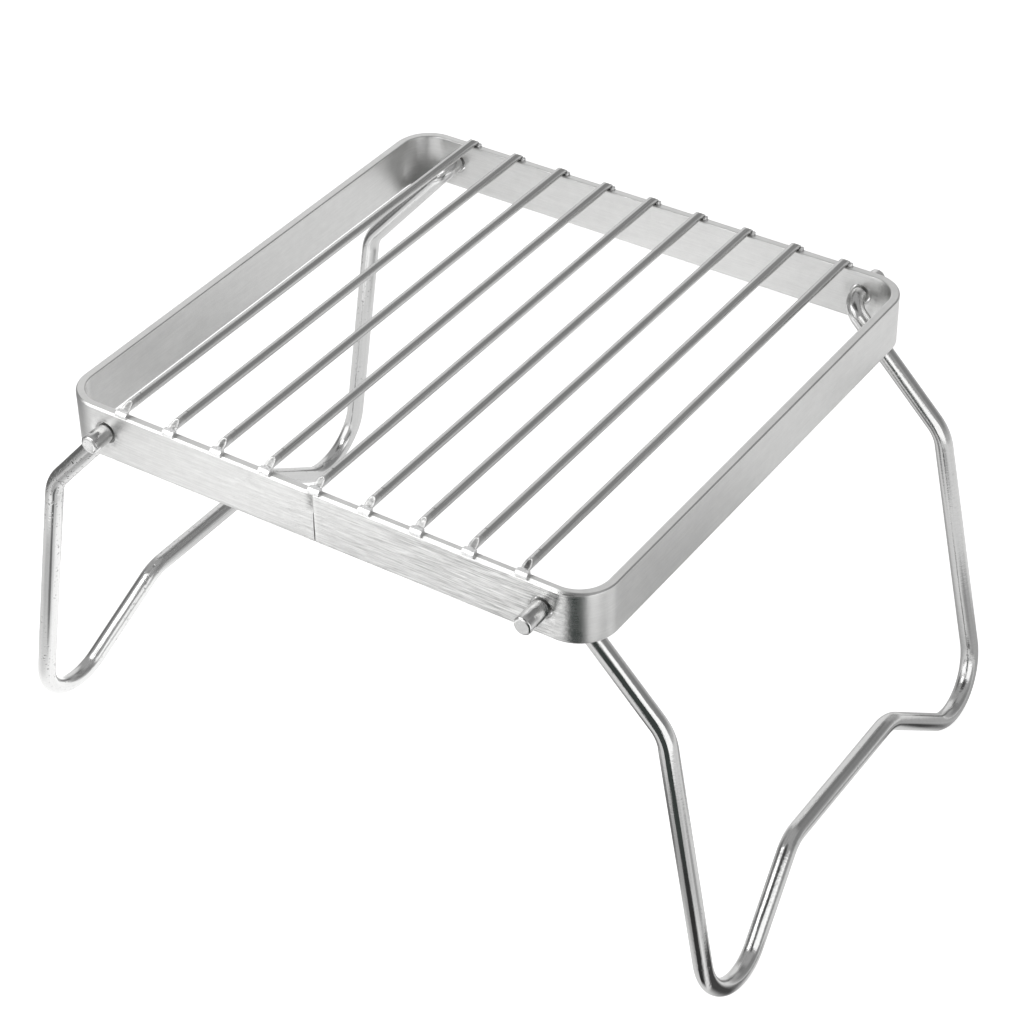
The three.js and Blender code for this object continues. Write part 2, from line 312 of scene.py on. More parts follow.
def make_rod_material():
    """Drawn rod with fine lines along it. Attribute "tube": (mm along, cos, sin)."""
    m, n = material("rod_satin")
    a = n.attr("tube")
    s, cx, cz = n.split(a)
    idx = n.split(n.attr("piece"))[0]
    seed = n.math("MULTIPLY", idx, 3.7)

    def lines(along, around, detail, rough, off):
        return n.noise(n.combine(n.math("ADD", n.math("MULTIPLY", s, along), seed), n.math("MULTIPLY", cx, around),
                                 n.math("ADD", n.math("MULTIPLY", cz, around), off)), 1.0, detail, rough)
    fine = lines(0.035, 6.5, 3, 0.6, 0.0)
    fine2 = lines(0.12, 14.0, 2, 0.5, 7.0)
    blot = lines(0.05, 0.9, 3, 0.55, 3.0)
    nick = n.voronoi(n.combine(n.math("ADD", n.math("MULTIPLY", s, 0.22), seed), n.math("MULTIPLY", cx, 1.3), n.math("MULTIPLY", cz, 1.3)), 1.0)
    nick = n.ramp(nick, 0.10, 0.03)
    # heat tint and grinding marks at the ends
    front = n.ramp(s, 5.0, 3.4)
    facet = n.math("MULTIPLY", n.ramp(n.split(n.attr("piece"))[1], 0.35, 0.75), 1.0)
    dirt = n.split(n.attr("piece"))[2]
    rear = n.ramp(s, 158.5, 162.0)
    mott = n.noise(n.combine(n.math("MULTIPLY", s, 0.9), n.math("MULTIPLY", cx, 1.6), n.math("ADD", n.math("MULTIPLY", cz, 1.6), seed)), 1.0, 5, 0.65)
    tone = n.math("ADD", n.math("MULTIPLY", n.math("SUBTRACT", fine, 0.5), 0.24), 0.62)
    tone = n.math("ADD", tone, n.math("MULTIPLY", n.math("SUBTRACT", fine2, 0.5), 0.10))
    tone = n.math("ADD", tone, n.math("MULTIPLY", n.math("SUBTRACT", blot, 0.5), 0.12))
    tone = n.math("SUBTRACT", tone, n.math("MULTIPLY", nick, 0.10))
    tone = n.math("ADD", tone, n.math("MULTIPLY", front, 0.10))
    ground = n.math("SUBTRACT", n.math("ADD", 0.66, n.math("MULTIPLY", n.math("SUBTRACT", mott, 0.5), 0.3)),
                    n.math("MULTIPLY", n.math("MULTIPLY", facet, dirt), n.math("ADD", 0.25, n.math("MULTIPLY", mott, 0.7))))
    tone = n.lerp(n.split(n.attr("ground"))[0], tone, ground)
    tone = n.math("ADD", tone, n.math("MULTIPLY", rear, n.math("MULTIPLY", n.math("SUBTRACT", mott, 0.55), 0.5)))
    tone = n.math("MULTIPLY", tone, 1.0, clamp=True)
    rough = n.math("ADD", n.math("MULTIPLY", n.math("SUBTRACT", blot, 0.5), 0.10), 0.25)
    rough = n.math("ADD", rough, n.math("MULTIPLY", n.math("SUBTRACT", fine, 0.5), 0.10))
    rough = n.math("ADD", rough, n.math("MULTIPLY", front, 0.08))
    height = n.math("ADD", n.math("MULTIPLY", fine, 1.0), n.math("MULTIPLY", fine2, 0.5))
    height = n.math("ADD", height, n.math("MULTIPLY", mott, n.math("MULTIPLY", front, 2.5)))
    height = n.math("SUBTRACT", height, n.math("MULTIPLY", nick, 0.6))
    n.metal(n.combine(tone, tone, n.math("MULTIPLY", tone, 0.992)), rough, n.bump(height, 0.00003, 0.8))
    return m


def make_weld_material():
    """Ground weld metal, bright with small grey pits."""
    m, n = material("weld_bright")
    o = n.scale(n.obj(), (1000.0, 1000.0, 1000.0))
    mott = n.noise(o, 1.5, 5, 0.65)
    fine = n.noise(o, 6.0, 3, 0.6)
    pit = n.ramp(n.voronoi(o, 1.1), 0.28, 0.12)
    tone = n.math("ADD", n.math("MULTIPLY", n.math("SUBTRACT", mott, 0.5), 0.30), 0.93)
    tone = n.math("ADD", tone, n.math("MULTIPLY", n.math("SUBTRACT", fine, 0.5), 0.12))
    tone = n.math("SUBTRACT", tone, n.math("MULTIPLY", pit, 0.12))
    tone = n.math("MULTIPLY", tone, 1.0, clamp=True)
    rough = n.math("ADD", n.math("MULTIPLY", n.math("SUBTRACT", mott, 0.5), 0.2), 0.34)
    height = n.math("ADD", n.math("ADD", mott, n.math("MULTIPLY", fine, 0.35)), n.math("MULTIPLY", pit, -0.7))
    n.metal(n.combine(tone, tone, tone), rough, n.bump(height, 0.00012, 0.7))
    return m


def make_leg_material(name, base, rough0, pits, marks, scuffed=0.0):
    """Polished drawn wire. Attribute "tube": (mm along, cos, sin)."""
    m, n = material(name)
    s, ca, sa = n.split(n.attr("tube"))
    bend = n.split(n.attr("piece"))[0]

    def lines(along, around, detail, rough, off):
        return n.noise(n.combine(n.math("ADD", n.math("MULTIPLY", s, along), off), n.math("MULTIPLY", ca, around),
                                 n.math("MULTIPLY", sa, around)), 1.0, detail, rough)
    draw = lines(0.03, 8.0, 3, 0.6, 2.0)
    blot = lines(0.07, 1.4, 4, 0.55, 5.0)
    cross = lines(2.2, 1.7, 3, 0.6, 9.0)         # faint marks across the wire
    pit = n.voronoi(n.combine(n.math("MULTIPLY", s, 0.42), n.math("MULTIPLY", ca, 1.1), n.math("MULTIPLY", sa, 1.1)), 1.0)
    pit2 = n.voronoi(n.combine(n.math("ADD", n.math("MULTIPLY", s, 0.95), 31.0), n.math("MULTIPLY", ca, 2.2), n.math("MULTIPLY", sa, 2.2)), 1.0)
    where = n.ramp(lines(0.035, 0.9, 2, 0.5, 14.0), 0.46, 0.62)
    if scuffed:                                  # the front arm is pitted all over
        arm = n.math("MULTIPLY", n.ramp(s, scuffed + 10, scuffed - 10), n.ramp(s, 12, 17))
        where = n.math("MAXIMUM", n.math("MULTIPLY", where, n.ramp(s, 12, 17, 0.0, 0.55)), arm)
    p = n.math("MAXIMUM", n.ramp(pit, 0.22, 0.08), n.math("MULTIPLY", n.ramp(pit2, 0.30, 0.12), 0.6))
    p = n.math("MULTIPLY", n.math("MULTIPLY", p, where), pits)
    tone = n.math("ADD", n.math("MULTIPLY", n.math("SUBTRACT", draw, 0.5), 0.12), base)
    tone = n.math("ADD", tone, n.math("MULTIPLY", n.math("SUBTRACT", blot, 0.5), 0.10))
    tone = n.math("ADD", tone, n.math("MULTIPLY", n.math("SUBTRACT", cross, 0.5), marks * 0.10))
    tone = n.math("SUBTRACT", tone, n.math("MULTIPLY", p, 0.25))
    if scuffed:
        tone = n.math("SUBTRACT", tone, n.math("MULTIPLY", arm, 0.14))
    tone = n.math("MULTIPLY", tone, 1.0, clamp=True)
    rough = n.math("ADD", n.math("MULTIPLY", n.math("SUBTRACT", blot, 0.5), 0.10), rough0)
    rough = n.math("ADD", rough, n.math("MULTIPLY", n.math("SUBTRACT", draw, 0.5), 0.06))
    rough = n.math("ADD", rough, n.math("MULTIPLY", bend, 0.05))
    rough = n.math("MAXIMUM", rough, 0.05)
    height = n.math("ADD", n.math("MULTIPLY", draw, 0.8), n.math("MULTIPLY", cross, 0.7 * marks))
    height = n.math("ADD", height, n.math("MULTIPLY", blot, 1.2))
    height = n.math("SUBTRACT", height, n.math("MULTIPLY", p, 3.0))
    n.metal(n.combine(tone, n.math("MULTIPLY", tone, 1.0), n.math("MULTIPLY", tone, 0.995)), rough, n.bump(height, 0.00004, 0.8))
    return m


MAT_BAND = make_band_material()
MAT_ROD = make_rod_material()
MAT_WELD = make_weld_material()
MAT_LEG_R = make_leg_material("leg_polished_right", 0.66, 0.075, 0.25, 1.0)
MAT_LEG_L = make_leg_material("leg_polished_left", 0.67, 0.13, 1.7, 0.5, 62.0)


# ------------------------------------------------------------------- the band
def round_profile(poly, segs=4):
    """poly: (x, y, fillet radius, rows to the next corner). Returns points."""
    pts = []
    k = len(poly)
    arcs = []
    for i in range(k):
        p = np.array(poly[i][:2])
        a = np.array(poly[i - 1][:2]) - p
        b = np.array(poly[(i + 1) % k][:2]) - p
        a, b = a / np.linalg.norm(a), b / np.linalg.norm(b)
        ang = math.acos(float(np.clip(a @ b, -1, 1)))
        r = poly[i][2]
        t = r / math.tan(ang / 2)
        c = p + (a + b) / np.linalg.norm(a + b) * r / math.sin(ang / 2)
        p0, p1 = p + a * t, p + b * t
        v0, v1 = p0 - c, p1 - c
        turn = math.pi - ang
        arc = []
        for j in range(segs + 1):
            f = j / segs
            w0, w1 = math.sin((1 - f) * turn) / math.sin(turn), math.sin(f * turn) / math.sin(turn)
            arc.append(c + v0 * w0 + v1 * w1)
        arcs.append(arc)
    for i in range(k):
        pts += arcs[i]
        nxt = arcs[(i + 1) % k][0]
        rows = poly[i][3]
        for j in range(1, rows):
            pts.append(arcs[i][-1] + (nxt - arcs[i][-1]) * j / rows)
    return np.array(pts)


def outer_path():
    """(U, base x, base y, normal x, normal y) round the outer face, from
    the middle of the rear wall, past the left side, the front (U = 0) and the right."""
    hx, hy, r = W / 2, L / 2, CORNER_R
    flat_x, flat_y, arc = hx - r, hy - r, math.pi * r / 2
    hole = set(np.round(np.arange(-7.6, 7.61, 0.7), 3))

    def straight(n, length, holes):
        t = set(np.linspace(0, length, n + 1))
        for h in holes:
            t = {x for x in t if abs(x - h) > 8.0 or x in (0, length)} | {h + o for o in hole if 0 < h + o < length}
        return sorted(t)
    out = []
    u = -PERIM / 2

    def add(u, x, y, nx, ny):
        if not out or abs(u - out[-1][0]) > 1e-6:
            out.append((u, x, y, nx, ny))
    # rear wall, middle to left
    for t in straight(24, flat_x, [PIN_X]):
        add(u + t, -t, hy, 0, 1)
    u += flat_x
    for j in range(25):
        a = math.pi / 2 + (math.pi / 2) * j / 24
        add(u + arc * j / 24, -flat_x + r * math.cos(a), flat_y + r * math.sin(a), math.cos(a), math.sin(a))
    u += arc
    for t in straight(48, 2 * flat_y, []):
        add(u + t, -hx, flat_y - t, -1, 0)
    u += 2 * flat_y
    for j in range(25):
        a = math.pi + (math.pi / 2) * j / 24
        add(u + arc * j / 24, -flat_x + r * math.cos(a), -flat_y + r * math.sin(a), math.cos(a), math.sin(a))
    u += arc
    for t in straight(52, 2 * flat_x, [flat_x - PIN_X, flat_x + PIN_X]):
        add(u + t, -flat_x + t, -hy, 0, -1)
    u += 2 * flat_x
    for j in range(25):
        a = -math.pi / 2 + (math.pi / 2) * j / 24
        add(u + arc * j / 24, flat_x + r * math.cos(a), -flat_y + r * math.sin(a), math.cos(a), math.sin(a))
    u += arc
    for t in straight(48, 2 * flat_y, []):
        add(u + t, hx, -flat_y + t, 1, 0)
    u += 2 * flat_y
    for j in range(25):
        a = (math.pi / 2) * j / 24
        add(u + arc * j / 24, flat_x + r * math.cos(a), flat_y + r * math.sin(a), math.cos(a), math.sin(a))
    u += arc
    for t in straight(24, flat_x, [flat_x - PIN_X]):
        add(u + t, flat_x - t, hy, 0, 1)
    return out[:-1]


def smooth01(x):
    x = min(max(x, 0.0), 1.0)
    return x * x * (3 - 2 * x)


def build_band():
    path = outer_path()
    rings, us = [], []
    for u, x, y, nx, ny in path:
        au = abs(u)
        on_front = smooth01((86 - au) / 14)
        right = smooth01((u + 40) / 90) * on_front
        c = 0.36 + on_front * 0.26 + right * 0.34          # ground edge, wider to the right
        h = c * 0.75
        poly = [(0, -BAR_H, 0.4, 20), (0, -h, 0.16, 3), (c, 0, 0.18, 4), (BAR_T, 0, 0.32, 20), (BAR_T, -BAR_H, 0.4, 4)]
        prof = round_profile(poly)
        rings.append((u, x, y, nx, ny, prof))
    verts, bar, depth = [], [], []
    for u, x, y, nx, ny, prof in rings:
        for d, z in prof:
            # a little waviness of the bar, and a rolled-in rim round each pin hole
            w = 0.05 * wob(x * 0.03, y * 0.03, z * 0.05, 4.2) + 0.02 * wob(x * 0.1, y * 0.1, z * 0.12, 9.1)
            edge = min(smooth01(-z / 2.0), smooth01((BAR_H + z) / 2.0))
            dd = d + w * edge
            if abs(ny) > 0.999:
                rr = math.hypot(abs(x) - PIN_X, z - PIN_Z)
                roll = math.exp(-((max(rr - HOLE_D / 2, 0)) / 1.1) ** 2)
                dd += 0.16 * roll if d < 0.2 else (-0.12 * roll if d > BAR_T - 0.2 else 0)
            verts.append((x - nx * dd, y - ny * dd, z))
            bar.append((u, z + BAR_H))
            depth.append((d, 0.0))
    n_ring, n_prof = len(rings), len(rings[0][5])
    faces, luv, ldp = [], [], []
    for i in range(n_ring):
        i2 = (i + 1) % n_ring
        for j in range(n_prof):
            j2 = (j + 1) % n_prof
            quad = (i * n_prof + j, i * n_prof + j2, i2 * n_prof + j2, i2 * n_prof + j)
            faces.append(quad)
            for q in quad:
                uu, vv = bar[q]
                if i2 == 0 and q < n_prof:
                    uu = PERIM / 2
                luv.append((uu, vv))
                ldp.append(depth[q])
    ob = mesh_object("frame_band_visual", verts, faces, sharp=0)
    uv_layer(ob, "bar", luv)
    uv_layer(ob, "depth", ldp)
    bm = bmesh.new()
    bm.from_mesh(ob.data)
    vol = bm.calc_volume(signed=True)
    if vol < 0:
        bmesh.ops.reverse_faces(bm, faces=bm.faces)
        bm.to_mesh(ob.data)
    bm.free()

    cutters = []
    for sx in (-1, 1):
        for sy in (-1, 1):
            yo, yi = sy * L / 2, sy * (L / 2 - BAR_T)
            prof = [(yo + sy * 1.2, HOLE_D / 2 + 1.6), (yo - sy * 0.28, HOLE_D / 2), (yi + sy * 0.22, HOLE_D / 2), (yi - sy * 1.2, HOLE_D / 2 + 1.5)]
            vs, fs = [], []
            seg = 64
            for y, r in prof:
                for k in range(seg):
                    a = 2 * math.pi * k / seg
                    vs.append((sx * PIN_X + r * math.cos(a), y, PIN_Z + r * math.sin(a)))
            for p in range(len(prof) - 1):
                for k in range(seg):
                    k2 = (k + 1) % seg
                    fs.append((p * seg + k, p * seg + k2, (p + 1) * seg + k2, (p + 1) * seg + k))
            fs.append(tuple(range(seg - 1, -1, -1)))
            fs.append(tuple(range((len(prof) - 1) * seg, len(prof) * seg)))
            cutters.append((vs, fs))
    # butt seam: open below, a shallow groove where it is welded shut above
    y0, y1 = -L / 2 - 1.0, -L / 2 + BAR_T + 1.0
    w2 = 0.13
    vs = []
    for z in (-BAR_H - 1, -BAR_H + SEAM_OPEN):
        ww = w2 * (1.25 if z < -BAR_H else 0.75)
        vs += [(SEAM_X - ww - 0.55, y0, z), (SEAM_X - ww, -L / 2 + 0.1, z), (SEAM_X - ww, y1, z),
               (SEAM_X + ww, y1, z), (SEAM_X + ww, -L / 2 + 0.1, z), (SEAM_X + ww + 0.55, y0, z)]
    fs = [(0, 1, 2, 3, 4, 5), (11, 10, 9, 8, 7, 6)] + [(k, 6 + k, 6 + (k + 1) % 6, (k + 1) % 6) for k in range(6)]
    cutters.append((vs, fs))
    vs = []
    for z in (-BAR_H + SEAM_OPEN - 0.02, -0.75):
        ww = 0.055
        vs += [(SEAM_X - 0.6, y0, z), (SEAM_X - ww * 0.3, -L / 2 + 0.12, z), (SEAM_X + ww * 0.3, -L / 2 + 0.12, z), (SEAM_X + 0.6, y0, z)]
    fs = [(0, 1, 2, 3), (7, 6, 5, 4)] + [(k, 4 + k, 4 + (k + 1) % 4, (k + 1) % 4) for k in range(4)]
    cutters.append((vs, fs))
    made = []
    for i, (vs, fs) in enumerate(cutters):
        c = mesh_object(f"cutter_{i}", vs, fs, sharp=0)
        bm = bmesh.new()
        bm.from_mesh(c.data)
        bmesh.ops.recalc_face_normals(bm, faces=bm.faces)
        if bm.calc_volume(signed=True) < 0:
            bmesh.ops.reverse_faces(bm, faces=bm.faces)
        bm.to_mesh(c.data)
        bm.free()
        mod = ob.modifiers.new(f"cut_{i}", "BOOLEAN")
        mod.operation, mod.solver, mod.object = "DIFFERENCE", "EXACT", c
        made.append(c)
    applied(ob, "frame_band_visual")
    for c in made:
        bpy.data.meshes.remove(c.data)
    me = ob.data
    co = np.zeros(len(me.vertices) * 3)
    me.vertices.foreach_get("co", co)
    me.vertices.foreach_set("co", to_world(co.reshape(-1, 3)).ravel())
    me.polygons.foreach_set("use_smooth", [True] * len(me.polygons))
    me.set_sharp_from_angle(angle=math.radians(28))
    me.update()
    me.materials.clear()
    me.materials.append(MAT_BAND)
    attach(ob, "frame")
    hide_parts("frame_band")
    return ob


build_band()


# ------------------------------------------------------------------- the rods
def build_rod(i):
    x0 = (i - (ROD_COUNT - 1) / 2) * ROD_PITCH
    r = ROD_D / 2
    zc = r * math.cos(math.pi / 16)
    half = 20                      # vertices on each side of the rod's middle plane
    nseg = 2 * half
    ang = [math.pi * (k + 0.5) / half for k in range(half)]       # from the top down

    def front_y(z):
        return ROD_FRONT - 0.1 + max(0.0, (z - 0.7)) * 1.82

    stations = [0.0, 0.06, 0.14, 0.3, 0.8, 1.6, 2.6, 4.0]
    ys_mid = list(np.arange(ROD_FRONT + 7.0, ROD_REAR - 7.0, 4.0))

    def rear_y(z):                 # the rear end slopes down to the wall's outer edge
        return ROD_REAR - max(0.0, z - ROD_END_H) * ROD_END_SLOPE / (ROD_D - ROD_END_H)

    rear = [(3.2, 0.0), (2.0, 0.0), (1.0, 0.0), (0.5, 0.012), (0.28, 0.04), (0.12, 0.11), (0.03, 0.20), (0.0, 0.30)]
    rings = []
    edge_in = [0.09, 0.03, 0.006, 0.0, 0.0, 0.0, 0.0, 0.0]
    for st, ei in zip(stations, edge_in):
        ring = []
        for sgn in (1, -1):
            seq = ang if sgn == 1 else ang[::-1]
            for a in seq:
                x, z = sgn * (r - ei) * math.sin(a), (r - ei) * math.cos(a)
                zz = zc + z
                ring.append((x, front_y(zz) + st, zz))
        rings.append(ring)
    for y in ys_mid:
        rings.append([(sg * r * math.sin(a), y, zc + r * math.cos(a)) for sg, seq in ((1, ang), (-1, ang[::-1])) for a in seq])
    for st, ei in rear:
        rings.append([(sg * (r - ei) * math.sin(a), rear_y(zc + (r - ei) * math.cos(a)) - st, zc + (r - ei) * math.cos(a))
                      for sg, seq in ((1, ang), (-1, ang[::-1])) for a in seq])
    verts = [v for ring in rings for v in ring]
    faces = []
    for a in range(len(rings) - 1):
        for k in range(nseg):
            k2 = (k + 1) % nseg
            faces.append((a * nseg + k, a * nseg + k2, (a + 1) * nseg + k2, (a + 1) * nseg + k))
    # the ground front face: rows across, with small hollows and a raised rim
    cols = 12
    grid = []
    first = rings[0]
    for k in range(half):
        p, q = first[k], first[nseg - 1 - k]
        row = [k]
        for j in range(1, cols):
            f = j / cols
            x, y, z = (p[t] + (q[t] - p[t]) * f for t in range(3))
            hollow = 0.10 * math.sin(math.pi * f) ** 0.7 * math.sin(math.pi * (k + 0.5) / half) ** 0.5
            bumps = 0.07 * wob(x * 1.6, y * 1.1, z * 1.6, 11.0 + i * 3.3) + 0.03 * wob(x * 4, y * 3, z * 4, 5.0 + i)
            on = 1.0 if z > 0.85 else 0.25
            row.append(len(verts))
            verts.append((x, y + on * (hollow * 0.55 + bumps), z - on * (hollow + bumps) * 0.35))
        row.append(nseg - 1 - k)
        grid.append(row)
    for a, b in zip(grid[:-1], grid[1:]):
        for j in range(cols):
            faces.append((a[j], a[j + 1], b[j + 1], b[j]))
    faces.append(tuple(grid[0]))
    faces.append(tuple(grid[-1][::-1]))
    # rear end
    base = (len(rings) - 1) * nseg
    last = list(range(base, base + nseg))
    for f in (0.6, 0.25):
        ring = []
        for k in range(nseg):
            v = verts[last[k]] if f == 0.6 else verts[base + k]
            ring.append(len(verts))
            vx, vz = verts[base + k][0] * f, zc + (verts[base + k][2] - zc) * f
            verts.append((vx, rear_y(vz) - 0.02 + 0.06 * wob(vx * 2, 0, vz * 2, 3.0 + i), vz))
        for k in range(nseg):
            k2 = (k + 1) % nseg
            faces.append((last[k], last[k2], ring[k2], ring[k]))
        last = ring
    faces.append(tuple(last))
    tube = [((v[1] - ROD_FRONT), v[0] / r, (v[2] - zc) / r) for v in verts]
    ob = mesh_object(f"grate_rod_{i + 1}_visual", to_world([(v[0] + x0, v[1], v[2]) for v in verts]), faces, sharp=0)
    bm = bmesh.new()
    bm.from_mesh(ob.data)
    bmesh.ops.recalc_face_normals(bm, faces=bm.faces)
    bm.to_mesh(ob.data)
    bm.free()
    ob.data.set_sharp_from_angle(angle=math.radians(40))
    attribute(ob, "tube", tube)
    dirt = (0.55, 0.5, 0.75, 0.35, 0.4, 0.3, 0.15, 0.6, 0.9)[i]
    piece, ground = [], []
    n_side = len(rings) * nseg
    for k, v in enumerate(verts):
        inside = n_side <= k < n_side + (cols - 1) * half and v[2] > 0.75
        f = 0.5 + v[0] / max(2 * math.sqrt(max(r * r - (v[2] - zc) ** 2, 0.01)), 0.2)
        core = math.sin(math.pi * min(max(f - 0.05, 0), 1)) ** 1.5 * smooth01((v[2] - 0.9) / 0.3) * smooth01((2.55 - v[2]) / 0.4) if inside else 0.0
        piece.append((float(i), core, dirt))
        ground.append((1.0 if inside or (k < 2 * nseg and v[2] > 0.7) else 0.0, 0, 0))
    attribute(ob, "piece", piece)
    attribute(ob, "ground", ground)
    ob.data.materials.append(MAT_ROD)
    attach(ob, "frame")
    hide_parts(f"grate_rod_{i + 1}")
    return ob


for i in range(ROD_COUNT):
    build_rod(i)


# ------------------------------------------------------------------- the welds
def blob(name, shapes, voxel, smooth, bumps, seed):
    """A closed organic mesh in millimetres: the union of ellipsoids and boxes,
    remeshed, smoothed and made uneven. shapes: (kind, centre, half sizes)."""
    bm = bmesh.new()
    for kind, c, h in shapes:
        if kind == "ball":
            made = bmesh.ops.create_icosphere(bm, subdivisions=3, radius=1.0)
        else:
            made = bmesh.ops.create_cube(bm, size=2.0)
        vs = made["verts"]
        for v in vs:
            v.co = Vector((v.co.x * h[0] + c[0], v.co.y * h[1] + c[1], v.co.z * h[2] + c[2]))
    me = bpy.data.meshes.new(name)
    bm.to_mesh(me)
    bm.free()
    ob = bpy.data.objects.new(name, me)
    bpy.context.scene.collection.objects.link(ob)
    mod = ob.modifiers.new("voxel", "REMESH")
    mod.mode, mod.voxel_size, mod.adaptivity = "VOXEL", voxel, 0.0
    if smooth:
        sm = ob.modifiers.new("smooth", "SMOOTH")
        sm.factor, sm.iterations = 0.5, smooth
    applied(ob, name)
    me = ob.data
    nv = len(me.vertices)
    co, no = np.zeros(nv * 3), np.zeros(nv * 3)
    me.vertices.foreach_get("co", co)
    me.vertex_normals.foreach_get("vector", no)
    co, no = co.reshape(-1, 3), no.reshape(-1, 3)
    for k in range(nv):
        p = co[k]
        co[k] = p + no[k] * (bumps * wob(p[0] * 1.1, p[1] * 1.1, p[2] * 1.1, seed) + 0.35 * bumps * wob(p[0] * 3.1, p[1] * 3.1, p[2] * 3.1, seed + 7))
    return ob, co


def finish_blob(ob, co, body_node):
    me = ob.data
    me.vertices.foreach_set("co", to_world(co).ravel())
    me.polygons.foreach_set("use_smooth", [True] * len(me.polygons))
    me.update()
    me.materials.clear()
    me.materials.append(MAT_WELD)
    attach(ob, "frame")
    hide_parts(body_node)


for i in range(ROD_COUNT):
    x = (i - (ROD_COUNT - 1) / 2) * ROD_PITCH
    w = WELD_W / 2
    a, b = rnd(i, 1), rnd(i, 2)
    yf = -L / 2
    # front: a block ground flush with the wall, running up to the rod's slope
    shapes = [
        ("box", (x + 0.1 * (a - 0.5), yf + 1.0, 0.42), (w + 0.06, 0.98, 0.80)),
        ("ball", (x - w * 0.85, yf + 1.3 + 0.3 * a, 0.25), (0.45, 0.75, 0.42)),
        ("ball", (x + w * 0.80, yf + 1.2 + 0.3 * b, 0.2), (0.42, 0.6, 0.4)),
        ("ball", (x + (a - 0.5) * 0.4, yf + 1.9, 0.75), (1.35, 0.75, 0.62)),
    ]
    ob, co = blob(f"weld_front_{i + 1}_visual", shapes, 0.1, 3, 0.07, 3.0 + i * 5.1)
    # ground flush: level with the outer face, the top running up to the rod
    co[:, 1] = np.maximum(co[:, 1], yf + 0.02)
    slope = np.minimum(0.48 + (co[:, 1] - yf) * 0.95, 1.08 + (co[:, 1] - yf) * 0.16)
    over = co[:, 2] > slope
    co[over, 2] = slope[over] + (co[over, 2] - slope[over]) * 0.15
    finish_blob(ob, co, f"weld_front_{i + 1}")

    # rear: a bead at both sides of the rod, the right one a round blob
    yr = L / 2 - 0.55
    shapes = [
        ("ball", (x + 1.62 + 0.12 * (a - 0.5), yr + 0.15 * (b - 0.5), 0.42), (0.62, 0.62, 0.52)),
        ("ball", (x + 1.35, yr, 0.12), (0.85, 0.95, 0.3)),
        ("ball", (x - 1.5 + 0.15 * (b - 0.5), yr + 0.1, 0.28), (0.55, 0.7, 0.42)),
        ("ball", (x - 1.25, yr, 0.1), (0.75, 0.9, 0.26)),
        ("box", (x, yr + 0.1, -0.05), (1.35, 0.7, 0.12)),
        ("ball", (x, L / 2 + 0.10, 0.12), (1.35, 0.42, 0.62)),
    ]
    ob, co = blob(f"weld_rear_{i + 1}_visual", shapes, 0.1, 2, 0.05, 40.0 + i * 3.7)
    finish_blob(ob, co, f"weld_rear_{i + 1}")


# -------------------------------------------------------------------- the legs
def leg_path(side, pin, elbow, foot, mid):
    def at(p, sy):
        return Vector((side * (PIN_X + p[0]), sy * p[1], PIN_Z + p[2]))

    def half(sy):
        return [Vector((side * PIN_X, sy * pin, PIN_Z)), Vector((side * PIN_X, sy * elbow[1], PIN_Z)),
                at(elbow, sy), at(foot, sy), at(mid, sy)]
    corners = half(-1) + half(1)[::-1]
    pts = [(corners[0], 0.0, Vector((0, 0, 1)))]

    def line_to(p):
        q = pts[-1][0]
        n = max(1, int((p - q).length / 2.5))
        for k in range(1, n + 1):
            pts.append((q.lerp(p, k / n), 0.0, pts[-1][2]))
    for i in range(1, len(corners) - 1):
        u = (corners[i - 1] - corners[i]).normalized()
        v = (corners[i + 1] - corners[i]).normalized()
        ang = u.angle(v)
        turn = math.pi - ang
        r = RADII[i]
        start = corners[i] + u * (r / math.tan(ang / 2))
        centre = corners[i] + (u + v).normalized() * (r / math.sin(ang / 2))
        e1, e2 = (start - centre).normalized(), -u
        line_to(start)
        n = max(6, math.ceil(math.degrees(turn) / 2.6))
        for k in range(n + 1):
            t = turn * k / n
            p = centre + e1 * (r * math.cos(t)) + e2 * (r * math.sin(t))
            w = math.sin(math.pi * k / n) ** 0.6 if 0 < k < n else 0.0
            inward = (centre - p).normalized()
            if k == 0:
                pts[-1] = (pts[-1][0], 0.0, inward)
                continue
            pts.append((p, w, inward))
    line_to(corners[-1])
    return pts


